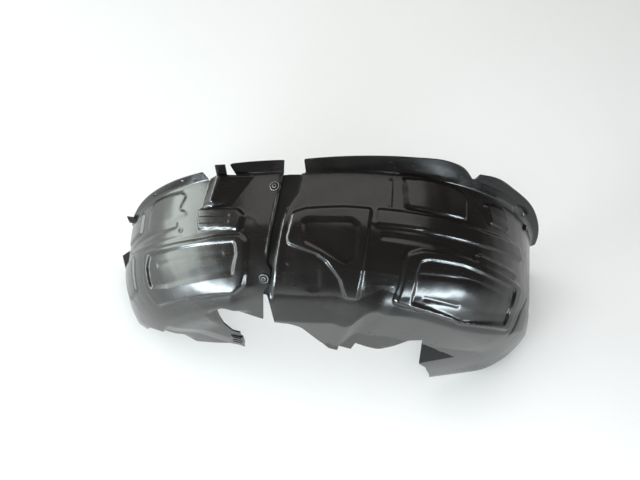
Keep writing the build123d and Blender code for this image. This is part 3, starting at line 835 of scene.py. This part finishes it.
# tree that sets one turned head with a square shank on each point, along the vector "facing"
def clipTree():
    tree = bpy.data.node_groups.new("clipsOnSeam", "GeometryNodeTree")
    tree.interface.new_socket("Geometry", in_out="OUTPUT", socket_type="NodeSocketGeometry")
    tree.interface.new_socket("Places", in_out="INPUT", socket_type="NodeSocketGeometry")
    for name in seamClips["seam_clip_bodies"]:
        tree.interface.new_socket(name, in_out="INPUT", socket_type="NodeSocketFloat")
    tree.interface.new_socket("Finish", in_out="INPUT", socket_type="NodeSocketMaterial")

    def add(kind, values, **settings):
        made = tree.nodes.new(kind)
        for key, value in settings.items():
            setattr(made, key, value)
        for key, value in values.items():
            if isinstance(value, bpy.types.NodeSocket):
                tree.links.new(value, made.inputs[key])
            else:
                made.inputs[key].default_value = value
        return made.outputs[0]

    def maths(operation, a, b):
        return add("ShaderNodeMath", {0: a, 1: b}, operation=operation)

    def upright(x, z):
        return add("ShaderNodeCombineXYZ", {"X": x, "Y": x, "Z": z})

    given = tree.nodes.new("NodeGroupInput").outputs
    lift, thick, length = given["Lift"], given["Head Thickness"], given["Shank Length"]
    head = add("GeometryNodeMeshCylinder", {"Vertices": clipSides, "Radius": given["Head Radius"], "Depth": thick})
    headAt = upright(0.0, maths("ADD", lift, maths("MULTIPLY", thick, 0.5)))
    shank = add("GeometryNodeMeshCube", {"Size": upright(given["Shank Width"], length)})
    shankAt = upright(0.0, maths("SUBTRACT", lift, maths("MULTIPLY", length, 0.5)))
    hole = add("GeometryNodeMeshCube", {"Size": upright(given["Hole Width"], maths("MULTIPLY", length, holeReach))})
    placed = [
        add("GeometryNodeTransform", {"Geometry": solid, "Translation": at})
        for solid, at in ((head, headAt), (shank, shankAt))
    ]
    joined = tree.nodes.new("GeometryNodeMeshBoolean")
    joined.operation = "UNION"
    for solid in placed:
        tree.links.new(solid, joined.inputs["Mesh 2"])
    bored = add("GeometryNodeMeshBoolean", {"Mesh 1": joined.outputs[0], "Mesh 2": hole}, operation="DIFFERENCE")
    hollow = maths("GREATER_THAN", given["Hole Width"], 0.0)
    clip = add("GeometryNodeSwitch", {"Switch": hollow, "False": joined.outputs[0], "True": bored})
    small = add("GeometryNodeTransform", {"Geometry": clip, "Scale": (mm, mm, mm)})
    facing = add("GeometryNodeInputNamedAttribute", {"Name": "facing"}, data_type="FLOAT_VECTOR")
    turn = add("FunctionNodeAlignRotationToVector", {"Vector": facing}, axis="Z")
    spread = add("GeometryNodeInstanceOnPoints", {"Points": given["Places"], "Instance": small, "Rotation": turn})
    plain = add("GeometryNodeRealizeInstances", {"Geometry": spread})
    finished = add("GeometryNodeSetMaterial", {"Geometry": plain, "Material": given["Finish"]})
    tree.links.new(finished, tree.nodes.new("NodeGroupOutput").inputs[0])
    return tree


def makeClips(node, sizes, tree):
    places, facings = [], []
    for x, y in clipSpots:
        y0, r0, turn0 = sectionAt(np.array(float(alongAt(y))))
        theta = np.arcsin(x / r0)
        places.append((hub + (x, y0, r0 * np.cos(theta))) * mm)
        facings.append((np.sin(theta) * np.cos(turn0), -np.sin(turn0), np.cos(theta) * np.cos(turn0)))
    spots = bpy.data.meshes.new(node + "Spots")
    spots.from_pydata([tuple(p) for p in places], [], [])
    spots.attributes.new("facing", "FLOAT_VECTOR", "POINT").data.foreach_set("vector", np.ravel(facings))
    holder = bpy.data.objects.new(node + "Spots", spots)
    bpy.context.scene.collection.objects.link(holder)
    nodes = holder.modifiers.new("clips", "NODES")
    nodes.node_group = tree
    for item in tree.interface.items_tree:
        if item.in_out == "INPUT" and item.name in sizes:
            nodes[item.identifier] = sizes[item.name]
        elif item.name == "Finish":
            nodes[item.identifier] = clipFinish
    ready = holder.evaluated_get(bpy.context.evaluated_depsgraph_get())
    mesh = bpy.data.meshes.new_from_object(ready)
    holder.modifiers.remove(nodes)
    bpy.data.objects.remove(holder)
    soft = bmesh.new()
    soft.from_mesh(mesh)
    sharp = [e for e in soft.edges if len(e.link_faces) == 2 and e.calc_face_angle() > clipSharp]
    softenEdges(soft, sharp, clipEdge)
    soft.to_mesh(mesh)
    soft.free()
    piece = bpy.data.objects.new(clipNames[node], mesh)
    bpy.context.scene.collection.objects.link(piece)
    return piece


seamTree = clipTree()
for node, sizes in seamClips.items():
    piece = makeClips(node, sizes, seamTree)
    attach(piece, "root")
    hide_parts(node)
    print(node, "made,", len(piece.data.polygons), "faces")

# studio: pale floor, dim room, soft lights
studio = {
    "floor": {"Base Color": (0.9, 0.9, 0.9, 1), "Roughness": 0.9},
    "floorHalf": 6.0,
    "room": (0.03, 0.029, 0.028, 1),
    "aim": (-16, 100, 215),    # from the hub
    "azimuth": 4.3,
    "elevation": 69.0,
    "distance": 1830.0,
    "lens": 59.6,
    "sensor": 36.0,
}
lights = [
    # name, place, aim, size, power, colour, spread in degrees, seen in the gloss
    ("overhead", (0, -0.1, 1.7), (0, -0.1, 0), (1.4, 1.4), 15, (1, 1, 1), 180, False),
    ("frontFloor", (0.1, -0.7, 0.8), (0.1, -0.65, 0), (1.0, 0.4), 2.5, (1, 1, 1), 120, False),
    ("backHigh", (0, 1.68, 2.49), (0, 0, 0.4), (5.6, 1.9), 40, (1, 0.98, 0.95), 160, True),
    ("leftPanel", (-2.4, 0.2, 0.55), (0, 0.2, 0.55), (2.6, 1.1), 72, (0.91, 1, 0.95), 180, True),
    ("leftStrip", (-1.63, -1.63, 0.3), (0, 0, 0.4), (1.2, 0.3), 18, (0.82, 0.94, 1), 90, True),
    ("rightStrip", (1.54, -1.71, 0.3), (0, 0, 0.4), (1.4, 0.3), 11, (0.82, 0.94, 1), 90, True),
]


def makeStudio():
    half = studio["floorHalf"]
    mesh = bpy.data.meshes.new("floor")
    mesh.from_pydata([(-half, -half, 0), (half, -half, 0), (half, half, 0), (-half, half, 0)], [], [(0, 1, 2, 3)])
    floor = bpy.data.objects.new("floor", mesh)
    bpy.context.scene.collection.objects.link(floor)
    mesh.materials.append(Shader("paleFloor", studio["floor"]).material)
    floor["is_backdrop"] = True
    world = bpy.data.worlds.new("room")
    world.use_nodes = True
    world.node_tree.nodes["Background"].inputs["Color"].default_value = studio["room"]
    bpy.context.scene.world = world
    for name, place, aim, size, power, colour, spread, glossy in lights:
        lamp = bpy.data.lights.new(name, "AREA")
        lamp.shape = "RECTANGLE"
        lamp.size, lamp.size_y = size
        lamp.energy = power
        lamp.color = colour
        lamp.spread = radians(spread)
        holder = bpy.data.objects.new(name, lamp)
        holder.location = place
        holder.visible_glossy = glossy
        holder.visible_camera = False
        holder.rotation_euler = (Vector(aim) - Vector(place)).to_track_quat("-Z", "Y").to_euler()
        bpy.context.scene.collection.objects.link(holder)
    lens = bpy.data.cameras.new("camera")
    lens.lens = studio["lens"]
    lens.sensor_width = studio["sensor"]
    camera = bpy.data.objects.new("camera", lens)
    az, el = radians(studio["azimuth"]), radians(studio["elevation"])
    back = Vector((sin(az) * cos(el), -cos(az) * cos(el), sin(el)))
    target = Vector(hub + studio["aim"]) * mm
    camera.location = target + back * studio["distance"] * mm
    camera.rotation_euler = (-back).to_track_quat("-Z", "Y").to_euler()
    bpy.context.scene.collection.objects.link(camera)
    bpy.context.scene.camera = camera
    bpy.context.scene.view_settings.view_transform = "Standard"


makeStudio()
print("studio made")

sizes = {"cad": [list(c) for c in cadBox], "visual": [list(c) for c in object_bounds()]}
